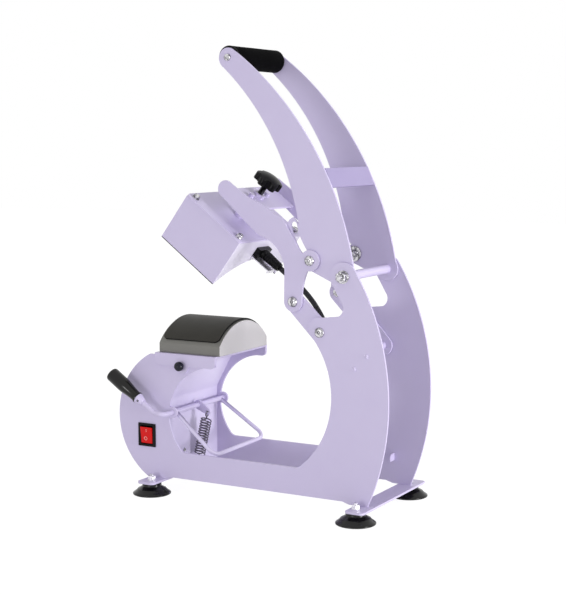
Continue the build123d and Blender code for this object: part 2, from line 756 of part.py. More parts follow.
pivot_d = pivot_bolt(PIVOT_D, ARM_IN - 0.3)
save("lever_axle", lever_axle())
spacer_bore = rod(-ARM_IN, ARM_IN, PIVOT_C, M8_SHAFT + PIN_FIT)
save("arm_spacer", rod(-ARM_IN, ARM_IN, PIVOT_C, PIVOT_TUBE_R) - spacer_bore)
save("rocker_pivots", pivot_d, left(pivot_d))
save("rocker_bar_right", pin_link(ARM_IN))
save("rocker_bar_left", left(pin_link(ARM_IN)))
save("rocker_tie", rocker_tie())
save("stop_block", stop_block())
save("small_screws", panel_screw(), *[stop_screw(place) for place in STOP_SCREWS])


# ---- carriage ----
def head_point(t, n):
    # a point of the head's own frame, as (y, z)
    c, s = cos(radians(HEAD_TILT)), sin(radians(HEAD_TILT))
    return (HEAD_BASE[0] + c * t + s * n, HEAD_BASE[1] - s * t + c * n)


def cheek():
    profile = outline(
        head_point(-14.0, 93.5),
        head_point(34.0, 89.0),
        head_point(60.0, 88.0),
        ((54.5, 327.0), (57.4, 305.0)),
        (57.0, 272.9),
        arc(PIVOT_A, 13.0, 180, 360),
        ((85.6, 296.0), (91.2, 313.0)),
        (polar(PIVOT_B, 13.6, -20), polar(PIVOT_B, 13.6, 90)),
        (polar(PIVOT_B, 13.6, 115), polar(PIVOT_B, 13.6, 140)),
        (78.0, 341.8),
        (55.5, 378.0),
        ((51.0, 381.6), head_point(63.0, 124.5)),
        head_point(48.0, 124.0),
        head_point(14.0, 116.5),
        head_point(-14.0, 115.5),
        ((head_point(-27.0, 104.5)), head_point(-14.0, 93.5)),
    )
    for place, radius in ((PIVOT_A, M6_SHAFT), (PIVOT_B, M6_SHAFT)):
        profile -= Pos(*place) * Circle(radius)
    return sheet(profile, PLATE_IN)


def slot_bolt():
    bush = rod(ARM_IN - 1.0, PLATE_IN, PIVOT_B, SLOT_BUSH_R)
    washer = rod(ARM_IN - 2.2, ARM_IN - 1.0, PIVOT_B, 10.5)
    return pivot_bolt(PIVOT_B, ARM_IN - 2.2) + bush + washer


HEAD_PLANE = Plane(
    origin=(0, HEAD_BASE[0], HEAD_BASE[1]),
    x_dir=(1, 0, 0),
    z_dir=(0, sin(radians(HEAD_TILT)), cos(radians(HEAD_TILT))),
)
def bridge():
    plate = block((-PLATE_IN, PLATE_IN), (-20, 24), (BRIDGE_N, BRIDGE_N + SHEET))
    flange = block((PLATE_IN - SHEET, PLATE_IN), (-12, 24), (BRIDGE_N - 4, BRIDGE_N))
    weld_nut = Pos(0, 0, BRIDGE_N + SHEET) * extrude(RegularPolygon(14 / sqrt(3), 6), amount=5.5)
    plate += flange + left(flange) + weld_nut
    plate -= Pos(0, 0, BRIDGE_N) * Cylinder(SCREW_R + PIN_FIT, 20)
    for x in (-GUIDE_X, GUIDE_X):
        plate -= Pos(x, 0, BRIDGE_N) * Cylinder(GUIDE_R + PIN_FIT, 20)
    return HEAD_PLANE * plate


pivot_a = pivot_bolt(PIVOT_A, ARM_IN - 0.3)
save("cheek_right", cheek())
save("cheek_left", left(cheek()))
save("carriage_bridge", bridge())
save("link_bolts", pivot_a, left(pivot_a))
save("slot_bolts", slot_bolt(), left(slot_bolt()))


# ---- head ----
def along_t(profile, t_start, length):
    # a profile in (x, n) extruded along the head's length
    return extrude(Plane.XZ.offset(-t_start) * profile, amount=-length)


def head_housing():
    shell = block((-HEAD_HALF_X, HEAD_HALF_X), (-HEAD_HALF_T, HEAD_HALF_T), (0, HEAD_HIGH))
    inside_x = HEAD_HALF_X - HEAD_WALL
    inside_t = HEAD_HALF_T - HEAD_WALL
    shell -= block((-inside_x, inside_x), (-inside_t, inside_t), (-1, HEAD_HIGH + 1))
    half = HEAD_HALF_X - HEAD_WALL
    radius = (half**2 + HEAD_ARCH_RISE**2) / (2 * HEAD_ARCH_RISE)
    arch = outline((-half, 0.0), ((0.0, HEAD_ARCH_RISE), (half, 0.0)), (half, -1.0), (-half, -1.0))
    shell -= along_t(arch, -HEAD_HALF_T - 1, 2 * HEAD_HALF_T + 2)
    hole = Pos(GLAND_X, HEAD_HALF_T, GLAND_N) * Rot(90, 0, 0) * Cylinder(6.0, 8)
    return HEAD_PLANE * (shell - hole)


def head_lid():
    profile = RectangleRounded(2 * HEAD_HALF_X + 2, 2 * HEAD_HALF_T + 2, 7)
    profile -= Circle(SCREW_R + PIN_FIT)
    for x, t in HEAD_BOLTS:
        profile -= Pos(x, t) * Circle(BOLT_R)
    for x in (-GUIDE_X, GUIDE_X):
        profile -= Pos(x, 0) * Circle(GUIDE_R)
    return HEAD_PLANE * Pos(0, 0, HEAD_HIGH) * extrude(profile, amount=LID_THICK)


def head_bolt(x, t):
    cap = Pos(0, 0, LID_TOP + 1.0) * extrude(RegularPolygon(8 / sqrt(3), 6), amount=4.0)
    washer = Pos(0, 0, LID_TOP + 0.5) * Cylinder(5.0, 1.0)
    shank = Pos(0, 0, (LID_TOP + 10) / 2) * Cylinder(BOLT_R, LID_TOP - 10)
    return HEAD_PLANE * Pos(x, t, 0) * (cap + washer + shank)


def heating_platen():
    curve = along_t(sector(HOT_R, HOT_R + HOT_THICK, 52.0, HOT_CENTRE_N), -47, 94)
    for x, t in HEAD_BOLTS:
        curve += Pos(x, t, 12.0) * Cylinder(5.0, 9.0)
        curve -= Pos(x, t, 15.0) * Cylinder(BOLT_R, 10.0)
    return HEAD_PLANE * curve


def heater_mat():
    inner = HOT_R + HOT_THICK
    return HEAD_PLANE * along_t(sector(inner, inner + MAT_THICK, 40.0, HOT_CENTRE_N), -45, 90)


def insulation():
    inner = HOT_R + HOT_THICK + MAT_THICK
    return HEAD_PLANE * along_t(sector(inner, inner + 8.0, 38.0, HOT_CENTRE_N), -46, 92)


def guide_pin(x):
    pin = Pos(x, 0, (HEAD_HIGH + 107) / 2) * Cylinder(GUIDE_R, 107 - HEAD_HIGH)
    shoulder = Pos(x, 0, LID_TOP + 1.5) * Cylinder(6.5, 3.0)
    return HEAD_PLANE * (pin + shoulder)


def lead_gland():
    start, end = GLAND_SLEEVE
    body = block((GLAND_X - 15, GLAND_X + 15), (HEAD_HALF_T, start), (GLAND_N - 6, GLAND_N + 6.5))
    body = fillet(body.edges().filter_by(Axis.Y), 3.0)
    sleeve = Pos(GLAND_X, (start + end) / 2, GLAND_N) * Rot(-90, 0, 0) * Cone(6.0, 4.8, end - start)
    bore = Pos(GLAND_X, 70.0, GLAND_N) * Rot(90, 0, 0) * Cylinder(LEAD_R, 60)
    return HEAD_PLANE * (body + sleeve - bore)


def gland_bracket():
    foot = block((GLAND_X - 4, GLAND_X + 14), (HEAD_HALF_T, 81.0), (GLAND_N - 10, GLAND_N - 8.5))
    tab = block((GLAND_X - 4, GLAND_X + 14), (HEAD_HALF_T, HEAD_HALF_T + 1.5), (GLAND_N - 14, GLAND_N - 8.5))
    lip = block((GLAND_X - 4, GLAND_X + 14), (79.5, 81.0), (GLAND_N - 13.0, GLAND_N - 8.5))
    return HEAD_PLANE * (foot + tab + lip)


save("head_housing", head_housing())
save("head_lid", head_lid())
save("head_bolts", *[head_bolt(x, t) for x, t in HEAD_BOLTS])
save("heating_platen", heating_platen())
save("heater_mat", heater_mat())
save("insulation", insulation())
save("guide_pins", guide_pin(-GUIDE_X), guide_pin(GUIDE_X))
save("lead_gland", lead_gland())
save("gland_bracket", gland_bracket())


# ---- pressure knob ----
def pressure_screw():
    shaft = Pos(0, 0, (62 + KNOB_N) / 2) * Cylinder(SCREW_R, KNOB_N - 62)
    collar = Pos(0, 0, LID_TOP + 2.1) * Cylinder(COLLAR_R, 4.0)
    clip = Pos(0, 0, HEAD_HIGH - 2.1) * Cylinder(COLLAR_R, 4.0)
    return HEAD_PLANE * (shaft + collar + clip)


def pressure_knob():
    profile = Circle(15.4)
    for lobe in range(KNOB_LOBES):
        profile += Pos(*polar((0, 0), 14.2, 360 / KNOB_LOBES * lobe)) * Circle(5.4)
    body = extrude(profile, amount=KNOB_THICK)
    body &= Pos(0, 0, KNOB_THICK - KNOB_DOME_R) * Sphere(KNOB_DOME_R)
    boss = Pos(0, 0, -1.2) * Cylinder(6.8, 2.4)
    return HEAD_PLANE * Pos(0, 0, KNOB_N) * (body + boss - Pos(0, 0, -1.2) * Cylinder(SCREW_R, 2.4))


save("pressure_screw", pressure_screw())
save("pressure_knob", pressure_knob())


# ---- heater lead ----
LEAD_ROUTE = [
    (GLAND_X, *head_point(88.0, GLAND_N)),
    (10.3, 39.0, 294.5),
    (11.0, 57.0, 281.0),
    (12.5, 76.0, 261.0),
    (17.0, 94.0, 235.0),
    (24.0, 111.0, 204.0),
    (33.0, 127.0, 170.0),
    (41.0, 140.0, 134.0),
    (45.0, 145.0, 98.0),
    (45.0, 136.0, 66.0),
    (43.0, 114.0, 45.0),
    (40.5, 81.0, 35.5),
    (39.0, 37.0, 31.5),
    (38.5, -11.0, 33.5),
    (38.0, -57.0, 31.5),
    (38.0, -99.0, 33.0),
    (38.0, -135.0, 33.0),
]


def lead_radii(points):
    radii = []
    for before, here, after in zip(points, points[1:], points[2:]):
        into = Vector(*here) - Vector(*before)
        out = Vector(*after) - Vector(*here)
        half_turn = radians(into.get_angle(out) / 2)
        radii.append(0.45 * min(into.length, out.length) / (sin(half_turn) / cos(half_turn)))
    return radii


def heater_lead():
    radii = lead_radii(LEAD_ROUTE)
    print("lead bend radii", [round(radius) for radius in radii])
    return tube_path(LEAD_ROUTE, radii, LEAD_R)


save("heater_lead", heater_lead())
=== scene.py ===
import bpy, bmesh, json
from math import atan2, cos, pi, radians, sin
from mathutils import Matrix, Vector


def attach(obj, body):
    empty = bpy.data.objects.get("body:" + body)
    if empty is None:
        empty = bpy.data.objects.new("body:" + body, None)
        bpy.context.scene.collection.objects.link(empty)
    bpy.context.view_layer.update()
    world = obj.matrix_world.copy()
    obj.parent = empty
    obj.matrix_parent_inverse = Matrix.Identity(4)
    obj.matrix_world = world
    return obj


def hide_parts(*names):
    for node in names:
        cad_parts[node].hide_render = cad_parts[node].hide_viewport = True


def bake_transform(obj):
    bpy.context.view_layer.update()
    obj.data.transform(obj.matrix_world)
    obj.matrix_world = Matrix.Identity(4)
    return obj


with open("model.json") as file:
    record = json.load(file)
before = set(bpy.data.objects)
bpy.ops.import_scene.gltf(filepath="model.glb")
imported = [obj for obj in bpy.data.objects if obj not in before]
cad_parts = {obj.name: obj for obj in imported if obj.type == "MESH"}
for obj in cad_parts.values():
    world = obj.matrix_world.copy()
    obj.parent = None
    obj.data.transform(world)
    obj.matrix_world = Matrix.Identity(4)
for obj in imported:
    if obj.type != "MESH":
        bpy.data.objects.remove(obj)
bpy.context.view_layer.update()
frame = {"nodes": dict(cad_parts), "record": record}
nodes = frame["nodes"]
print("frame loaded")


class Wire:
    # a socket of a shader tree that can stand in a sum; node() adds any other kind of node
    def __init__(self, tree, socket=None):
        self.tree = tree
        self.socket = socket

    def node(self, kind, settings, sockets, output=0):
        made = self.tree.nodes.new(kind)
        for name, value in settings.items():
            if name == "stops":
                ramp = made.color_ramp.elements
                while len(ramp) < len(value):
                    ramp.new(1.0)
                for stop, (place, colour) in zip(ramp, value):
                    stop.position = place
                    stop.color = colour
            else:
                setattr(made, name, value)
        for name, value in sockets.items():
            if isinstance(value, Wire):
                self.tree.links.new(value.socket, made.inputs[name])
            else:
                made.inputs[name].default_value = value
        return Wire(self.tree, made.outputs[output])

    def math(self, operation, first, second=0.0):
        return self.node("ShaderNodeMath", {"operation": operation}, {0: first, 1: second})

    def __add__(self, other):
        return self.math("ADD", self, other)

    def __sub__(self, other):
        return self.math("SUBTRACT", self, other)

    def __mul__(self, other):
        return self.math("MULTIPLY", self, other)


def linear(*rgb):
    # screen colour 0..255 to the linear values that a shader takes
    parts = [c / 255 for c in rgb]
    return tuple(c / 12.92 if c <= 0.04045 else ((c + 0.055) / 1.055) ** 2.4 for c in parts) + (1.0,)


def startMaterial(name):
    made = bpy.data.materials.new(name)
    made.use_nodes = True
    tree = made.node_tree
    spot = Wire(tree)
    place = spot.node("ShaderNodeTexCoord", {}, {}, "Object")
    return made, tree.nodes["Principled BSDF"], spot, place


def plug(spot, shader, name, value):
    if isinstance(value, Wire):
        spot.tree.links.new(value.socket, shader.inputs[name])
    else:
        shader.inputs[name].default_value = value


def speckle(spot, place, scale, detail=3.0, roughness=0.55):
    sockets = {"Vector": place, "Scale": scale, "Detail": detail, "Roughness": roughness}
    return spot.node("ShaderNodeTexNoise", {}, sockets)


def blendColour(spot, factor, first, second):
    return spot.node("ShaderNodeMix", {"data_type": "RGBA"}, {0: factor, 6: first, 7: second}, 2)


def bump(spot, height, strength, distance):
    return spot.node("ShaderNodeBump", {}, {"Height": height, "Strength": strength, "Distance": distance})


def surface(name, colour, shade, rough, roughSpread, grain=(600.0, 0.25, 0.0002), coat=0.0, shine=0.5):
    # a finish with a slow colour drift, an uneven gloss and a fine grain in relief
    made, shader, spot, place = startMaterial(name)
    drift = speckle(spot, place, 30.0)
    fine = speckle(spot, place, grain[0], 2.0)
    plug(spot, shader, "Base Color", blendColour(spot, drift, colour, shade))
    plug(spot, shader, "Roughness", drift * roughSpread + (rough - roughSpread / 2))
    plug(spot, shader, "Normal", bump(spot, fine, grain[1], grain[2]))
    plug(spot, shader, "Coat Weight", coat)
    plug(spot, shader, "Specular IOR Level", shine)
    return made


def brushedMetal(name, colour, shade, rough, stretch):
    # metal with fine turning marks, stretched along one axis, and patches that are rougher and painted
    # darker, a painted reflection that gives the metal contrast
    made, shader, spot, place = startMaterial(name)
    drawn = spot.node("ShaderNodeMapping", {}, {"Vector": place, "Scale": stretch})
    marks = speckle(spot, drawn, 900.0, 2.0)
    cloud = speckle(spot, place, 260.0, 1.0)
    limits = {"Value": cloud, "From Min": 0.4, "From Max": 0.62}
    dullAndPaintedReflection = spot.node("ShaderNodeMapRange", {"clamp": True}, limits)
    plug(spot, shader, "Base Color", blendColour(spot, dullAndPaintedReflection, colour, shade))
    plug(spot, shader, "Roughness", marks * 0.14 + dullAndPaintedReflection * 0.1 + (rough - 0.12))
    plug(spot, shader, "Metallic", 1.0)
    plug(spot, shader, "Normal", bump(spot, marks, 0.25, 0.00005))
    return made


def foamFinish():
    # closed-cell foam: small pits on a soft uneven skin
    made, shader, spot, place = startMaterial("foam")
    cells = spot.node("ShaderNodeTexVoronoi", {}, {"Vector": place, "Scale": 1300.0})
    soft = speckle(spot, place, 90.0)
    height = cells * 0.6 + soft * 0.8
    plug(spot, shader, "Base Color", blendColour(spot, cells, linear(11, 11, 12), linear(4, 4, 5)))
    plug(spot, shader, "Roughness", soft * 0.12 + 0.78)
    plug(spot, shader, "Specular IOR Level", 0.03)
    plug(spot, shader, "Normal", bump(spot, height, 0.6, 0.0003))
    return made


def braidFinish(turns, ribs):
    # a woven sleeve: two sets of diagonal yarns over the tube's own UV map
    made, shader, spot, _ = startMaterial("braidedSleeve")
    sleeveMap = spot.node("ShaderNodeUVMap", {"uv_map": "route"}, {})
    length = spot.node("ShaderNodeSeparateXYZ", {}, {"Vector": sleeveMap})
    around = Wire(spot.tree, length.socket.node.outputs[1])
    yarns = [spot.math("SINE", (length * ribs + around * turns) * (2 * pi))]
    yarns.append(spot.math("SINE", (length * ribs - around * turns) * (2 * pi)))
    weave = spot.math("MAXIMUM", *yarns)
    # the raised yarns are painted lighter and the gaps between them darker: painted shade
    threads = blendColour(spot, weave * 0.5 + 0.5, linear(9, 9, 10), linear(40, 40, 43))
    plug(spot, shader, "Base Color", threads)
    plug(spot, shader, "Roughness", 0.55)
    plug(spot, shader, "Specular IOR Level", 0.3)
    plug(spot, shader, "Normal", bump(spot, weave, 0.7, 0.0003))
    return made


def powderCoat(name, colour, shade):
    return surface(name, colour, shade, 0.42, 0.08, grain=(850.0, 0.35, 0.00012), coat=0.12)


finishes = {
    "lilac_paint": powderCoat("lilacPaint", linear(205, 196, 227), linear(201, 191, 224)),
    "zinc": brushedMetal("zincPlate", linear(214, 213, 216), linear(120, 118, 124), 0.26, (1.0, 0.2, 1.0)),
    "steel": brushedMetal("blackenedSteel", linear(70, 68, 74), linear(34, 33, 38), 0.34, (1.0, 1.0, 0.15)),
    "black_rubber": surface(
        "blackRubber", linear(8, 8, 7), linear(5, 5, 5), 0.22, 0.08,
        grain=(500.0, 0.15, 0.0001), shine=0.34,
    ),
    "black_foam": foamFinish(),
    "black_plastic": surface(
        "blackPlastic", linear(12, 12, 13), linear(8, 8, 9), 0.3, 0.1,
        grain=(1100.0, 0.3, 0.00006), shine=0.14,
    ),
    "red_plastic": surface(
        "redPlastic", linear(224, 20, 20), linear(206, 11, 14), 0.3, 0.06,
        grain=(700.0, 0.12, 0.00005), shine=0.2,
    ),
    "grey_cast": surface(
        "greyCast", linear(121, 120, 115), linear(113, 112, 108), 0.48, 0.12, grain=(420.0, 0.5, 0.00025),
    ),
    "pad_silicone": surface(
        "padSilicone", linear(50, 48, 42), linear(42, 40, 35), 0.5, 0.1,
        grain=(1200.0, 0.4, 0.0001), shine=0.25,
    ),
    "hot_aluminium": surface(
        "coatedPlaten", linear(58, 57, 56), linear(46, 45, 44), 0.42, 0.14, grain=(900.0, 0.35, 0.00008),
    ),
    "heater_mat": surface("heaterMat", linear(176, 112, 62), linear(150, 92, 50), 0.55, 0.1),
    "insulation": surface(
        "insulation", linear(222, 217, 202), linear(203, 197, 180), 0.92, 0.05,
        grain=(260.0, 0.8, 0.0006),
    ),
    "board": surface("board", linear(22, 88, 50), linear(15, 72, 40), 0.42, 0.1),
    "window": surface(
        "window", linear(34, 42, 40), linear(28, 35, 34), 0.1, 0.04,
        grain=(300.0, 0.02, 0.00002), coat=0.5,
    ),
    "spring_steel": brushedMetal(
        "springSteel", linear(122, 116, 130), linear(92, 88, 100), 0.3, (1.0, 1.0, 1.0),
    ),
    "lead_sleeve": braidFinish(6.0, 1.0),
}
extras = {
    # the lower platen's rear face: paler as bare machined metal, and partly painted light where it faces
    # the rear
    "rearFaceBareAndPaintedLight": surface(
        "bareRearAndPaintedLight", linear(201, 198, 200), linear(192, 189, 192), 0.5, 0.1, grain=(700.0, 0.3, 0.0001),
    ),
    "trim": surface("blackTrim", linear(14, 14, 15), linear(10, 10, 11), 0.55, 0.1, shine=0.2),
    "mark": surface("paleMark", linear(246, 196, 190), linear(236, 182, 176), 0.4, 0.05),
    "gloss": surface(
        "glossHandle", linear(20, 19, 17), linear(13, 12, 11), 0.16, 0.05,
        grain=(300.0, 0.1, 0.00004), shine=0.32,
    ),
    # the same lilac painted paler for the head's end plates: painted light
    "endPlate": powderCoat("endPlate", linear(226, 221, 238), linear(222, 216, 235)),
    # a paler lilac: on the cross panel it is painted light, where the panel is lit from behind; the cap
    # bail and the plate screws wear it as their own paler tone
    "pale": powderCoat("lilacPaleAndPaintedLight", linear(212, 204, 232), linear(208, 199, 229)),
    # the same lilac painted darker for the lever brace: painted shade where the brace lies in shadow
    "shaded": powderCoat("lilacPaintedShade", linear(158, 147, 188), linear(153, 142, 184)),
    "navy": surface("clampBall", linear(13, 14, 34), linear(9, 10, 26), 0.2, 0.06, shine=0.3),
    "satinZinc": brushedMetal(
        "satinZinc", linear(236, 234, 240), linear(206, 204, 212), 0.42, (1.0, 1.0, 1.0),
    ),
    "darkSteel": brushedMetal("blackOxide", linear(62, 62, 64), linear(44, 44, 46), 0.36, (1.0, 1.0, 1.0)),
}
print("finishes made")

for row in frame["record"]["subparts"]:
    piece = nodes[row["node"]]
    piece.data.materials.clear()
    piece.data.materials.append(finishes[row["material_slot"]])
print("CAD pieces finished")

studio = {
    "floorHalf": 6.0,
    "floorDrop": 0.0003,
    "floorGlow": 1.16,
    "glowShare": 0.8,
    "surround": 0.69,
    "seenWhite": 1.0,
    "lamps": {
        "sideLamp": ((2.5, -0.25, 0.15), 0.8, 14.5),
        "rearLamp": ((0.1, 2.2, 0.22), 0.6, 33),
    },
}


def whereSeen(spot):
    # 1 for what the camera, a reflection or glass looks at
    path = spot.tree.nodes.new("ShaderNodeLightPath")
    rays = ("Is Camera Ray", "Is Glossy Ray", "Is Transmission Ray")
    camera, glossy, through = [Wire(spot.tree, path.outputs[name]) for name in rays]
    return spot.math("MAXIMUM", camera, spot.math("MAXIMUM", glossy, through))


def makeFloor():
    mesh = bpy.data.meshes.new("floor")
    made = bmesh.new()
    bmesh.ops.create_grid(made, x_segments=1, y_segments=1, size=studio["floorHalf"])
    bmesh.ops.translate(made, verts=made.verts, vec=(0, 0, -studio["floorDrop"]))
    made.to_mesh(mesh)
    floor = bpy.data.objects.new("floor", mesh)
    bpy.context.scene.collection.objects.link(floor)
    material, shader, spot, _ = startMaterial("floorWhite")
    plug(spot, shader, "Base Color", linear(240, 240, 240))
    plug(spot, shader, "Roughness", 0.9)
    glow = spot.node("ShaderNodeEmission", {}, {"Color": (1, 1, 1, 1), "Strength": studio["floorGlow"]})
    base = Wire(spot.tree, shader.outputs[0])
    share = whereSeen(spot) * studio["glowShare"]
    mixed = spot.node("ShaderNodeMixShader", {}, {0: share, 1: base, 2: glow})
    spot.tree.links.new(mixed.socket, spot.tree.nodes["Material Output"].inputs[0])
    mesh.materials.append(material)


def makeWorld():
    world = bpy.data.worlds.new("studio")
    bpy.context.scene.world = world
    world.use_nodes = True
    spot = Wire(world.node_tree)
    soft = spot.node("ShaderNodeBackground", {}, {"Color": (1, 1, 1, 1), "Strength": studio["surround"]})
    white = spot.node("ShaderNodeBackground", {}, {"Color": (1, 1, 1, 1), "Strength": studio["seenWhite"]})
    mixed = spot.node("ShaderNodeMixShader", {}, {0: whereSeen(spot), 1: soft, 2: white})
    spot.tree.links.new(mixed.socket, spot.tree.nodes["World Output"].inputs[0])


def makeLamp(name, place, size, power):
    data = bpy.data.lights.new(name, "AREA")
    data.shape = "DISK"
    data.size = size
    data.energy = power
    made = bpy.data.objects.new(name, data)
    bpy.context.scene.collection.objects.link(made)
    made.location = place
    made.rotation_mode = "QUATERNION"
    made.rotation_quaternion = (Vector((0, 0, 0.25)) - Vector(place)).to_track_quat("-Z", "Y")


view = {
    "place": (1.5995, 0.9300, 0.4777),
    "yaw": 29.689,
    "pitch": 6.465,
    "roll": -0.1305,
    "focus": 1391.04,
    "frameHeight": 595,
    "sensor": 36.0,
}


def makeCamera():
    data = bpy.data.cameras.new("camera")
    data.sensor_width = view["sensor"]
    data.lens = view["focus"] / view["frameHeight"] * view["sensor"]
    data.clip_start, data.clip_end = 0.05, 50.0
    made = bpy.data.objects.new("camera", data)
    bpy.context.scene.collection.objects.link(made)
    yaw, pitch = radians(view["yaw"]), radians(view["pitch"])
    ahead = Vector((-cos(yaw) * cos(pitch), -sin(yaw) * cos(pitch), -sin(pitch)))
    aim = ahead.to_track_quat("-Z", "Y").to_matrix().to_4x4()
    roll = Matrix.Rotation(radians(view["roll"]), 4, "Z")
    made.matrix_world = Matrix.Translation(view["place"]) @ aim @ roll
    bpy.context.scene.camera = made


makeFloor()
makeWorld()
for name, (place, size, power) in studio["lamps"].items():
    makeLamp(name, place, size, power)
makeCamera()
bpy.context.scene.view_settings.view_transform = "Standard"
print("studio made")

mm = 0.001


def put(x, y, z):
    return Vector((x, y, z)) * mm


def crossways(x, y, z):
    # local Z to the right side of the press, +X
    return Matrix.Translation(put(x, y, z)) @ Matrix.Rotation(pi / 2, 4, "Y")


def along(start, end):
    # local Z from one point to the other
    way = Vector(end) - Vector(start)
    return Matrix.Translation(put(*start)) @ way.to_track_quat("Z", "Y").to_matrix().to_4x4()


# the raised head's own frame: its local Z runs up the pressure screw
headPlace = {"middle": (0, -80.5, 321.75), "tilt": -37.0}
headFrame = Matrix.Translation(put(*headPlace["middle"]))
headFrame = headFrame @ Matrix.Rotation(radians(headPlace["tilt"]), 4, "X")


def copyOf(*names):
    # CAD meshes as one clean mesh: doubles merged, flat triangles joined into their faces
    made = bmesh.new()
    for name in names:
        made.from_mesh(nodes[name].data)
    bmesh.ops.remove_doubles(made, verts=made.verts, dist=0.002 * mm)
    bmesh.ops.dissolve_limit(made, angle_limit=radians(0.4), verts=made.verts, edges=made.edges)
    return made


def turned(profile, hexagons=(), steps=48):
    # a solid of revolution about local Z from (radius, height) pairs in mm;
    # rings at one of the hexagons' radii move out to a hexagon that wide across its flats
    made = bmesh.new()
    corners = [made.verts.new(put(r, 0, h)) for r, h in profile]
    lines = [made.edges.new(pair) for pair in zip(corners, corners[1:])]
    bmesh.ops.spin(
        made, geom=corners + lines, cent=(0, 0, 0), axis=(0, 0, 1), angle=2 * pi,
        steps=steps, use_merge=True,
    )
    bmesh.ops.remove_doubles(made, verts=made.verts, dist=0.002 * mm)
    for vert in made.verts:
        radius = vert.co.xy.length / mm
        if any(abs(radius - flat) < 0.01 for flat in hexagons):
            turn = atan2(vert.co.y, vert.co.x) % (pi / 3) - pi / 6
            vert.co.x /= cos(turn)
            vert.co.y /= cos(turn)
    bmesh.ops.recalc_face_normals(made, faces=made.faces)
    return made


def boxOf(x, y, z):
    # a block from its (low, high) pairs in mm
    made = bmesh.new()
    bmesh.ops.create_cube(made, size=1.0)
    size = Matrix.Diagonal(put(x[1] - x[0], y[1] - y[0], z[1] - z[0]).to_4d())
    size[3][3] = 1.0
    centre = put((x[0] + x[1]) / 2, (y[0] + y[1]) / 2, (z[0] + z[1]) / 2)
    bmesh.ops.transform(made, matrix=Matrix.Translation(centre) @ size, verts=made.verts)
    return made


def moved(made, matrix):
    bmesh.ops.transform(made, matrix=matrix, verts=made.verts)
    return made


def joined(*parts):
    whole = parts[0]
    for part in parts[1:]:
        spare = bpy.data.meshes.new("spare")
        part.to_mesh(spare)
        whole.from_mesh(spare)
        bpy.data.meshes.remove(spare)
        part.free()
    return whole


def bothSides(made):
    # the same again, mirrored to the left side
    other = made.copy()
    bmesh.ops.scale(other, vec=(-1, 1, 1), verts=other.verts)
    bmesh.ops.reverse_faces(other, faces=other.faces)
    return joined(made, other)


def dress(made, name, finish, body, stands=(), edge=0.4, smooth=38.0):
    # the finished piece: edge is the width in mm of its rounded edges, 0 for none;
    # a piece given no body is left unattached
    mesh = bpy.data.meshes.new(name)
    made.to_mesh(mesh)
    made.free()
    mesh.shade_smooth()
    mesh.set_sharp_from_angle(angle=radians(smooth))
    mesh.materials.append(finishes.get(finish) or extras[finish])
    piece = bpy.data.objects.new(name, mesh)
    bpy.context.scene.collection.objects.link(piece)
    if edge:
        rounded = piece.modifiers.new("edges", "BEVEL")
        rounded.width = edge * mm
        rounded.segments = 2
        rounded.limit_method = "ANGLE"
        rounded.angle_limit = radians(35)
        rounded.harden_normals = True
    if body:
        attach(piece, body)
    if stands:
        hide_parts(*stands)
    return piece


# the braided lead from the head to the panel, in three lengths
lead = {
    "radius": 3.5,
    "route": [
        (10.0, 19.9, 308.7), (10.3, 39.0, 294.5), (11.0, 57.0, 281.0), (12.5, 76.0, 261.0),
        (17.0, 94.0, 235.0), (24.0, 111.0, 204.0), (33.0, 127.0, 170.0), (41.0, 140.0, 134.0),
        (45.0, 145.0, 98.0), (45.0, 136.0, 66.0), (43.0, 114.0, 45.0), (40.5, 81.0, 35.5),
        (39.0, 37.0, 31.5), (38.5, -11.0, 33.5), (38.0, -57.0, 31.5), (38.0, -99.0, 33.0),
        (38.0, -135.0, 33.0),
    ],
    "cuts": (262.0, 190.0),  # heights at which one length ends and the next begins
    "bodies": (("carriage", "head"), ("rocker", "carriage"), ("base", "rocker")),
    "settled": 90.0,  # the distance along the last length to the point reckoned as still
    "braid": 5.0,
}


def routePoints():
    # the smooth line through the route, as the curve itself gives it
    curve = bpy.data.curves.new("leadRoute", "CURVE")
    curve.dimensions = "3D"
    spline = curve.splines.new("NURBS")
    spline.points.add(len(lead["route"]) - 1)
    for point, place in zip(spline.points, lead["route"]):
        point.co = (*put(*place), 1.0)
    spline.order_u = 3
    spline.use_endpoint_u = True
    spline.resolution_u = 8
    guide = bpy.data.objects.new("leadRoute", curve)
    bpy.context.scene.collection.objects.link(guide)
    bpy.context.view_layer.update()
    mesh = bpy.data.meshes.new_from_object(guide.evaluated_get(bpy.context.evaluated_depsgraph_get()))
    line = [vert.co.copy() for vert in mesh.vertices]
    bpy.data.objects.remove(guide)
    bpy.data.meshes.remove(mesh)
    return line


def leadLength(name, points):
    # a closed tube along the points
    curve = bpy.data.curves.new(name, "CURVE")
    curve.dimensions = "3D"
    curve.bevel_depth = lead["radius"] * mm
    curve.bevel_resolution = 6
    curve.use_fill_caps = True
    spline = curve.splines.new("POLY")
    spline.points.add(len(points) - 1)
    for point, place in zip(spline.points, points):
        point.co = (*place, 1.0)
    guide = bpy.data.objects.new(name + "Guide", curve)
    bpy.context.scene.collection.objects.link(guide)
    bpy.context.view_layer.update()
    mesh = bpy.data.meshes.new_from_object(guide.evaluated_get(bpy.context.evaluated_depsgraph_get()))
    bpy.data.objects.remove(guide)
    made = bmesh.new()
    made.from_mesh(mesh)
    bmesh.ops.remove_doubles(made, verts=made.verts, dist=0.002 * mm)
    bmesh.ops.recalc_face_normals(made, faces=made.faces)
    made.to_mesh(mesh)
    made.free()
    mesh.shade_smooth()
    mesh.name = name
    piece = bpy.data.objects.new(name, mesh)
    bpy.context.scene.collection.objects.link(piece)
    return piece


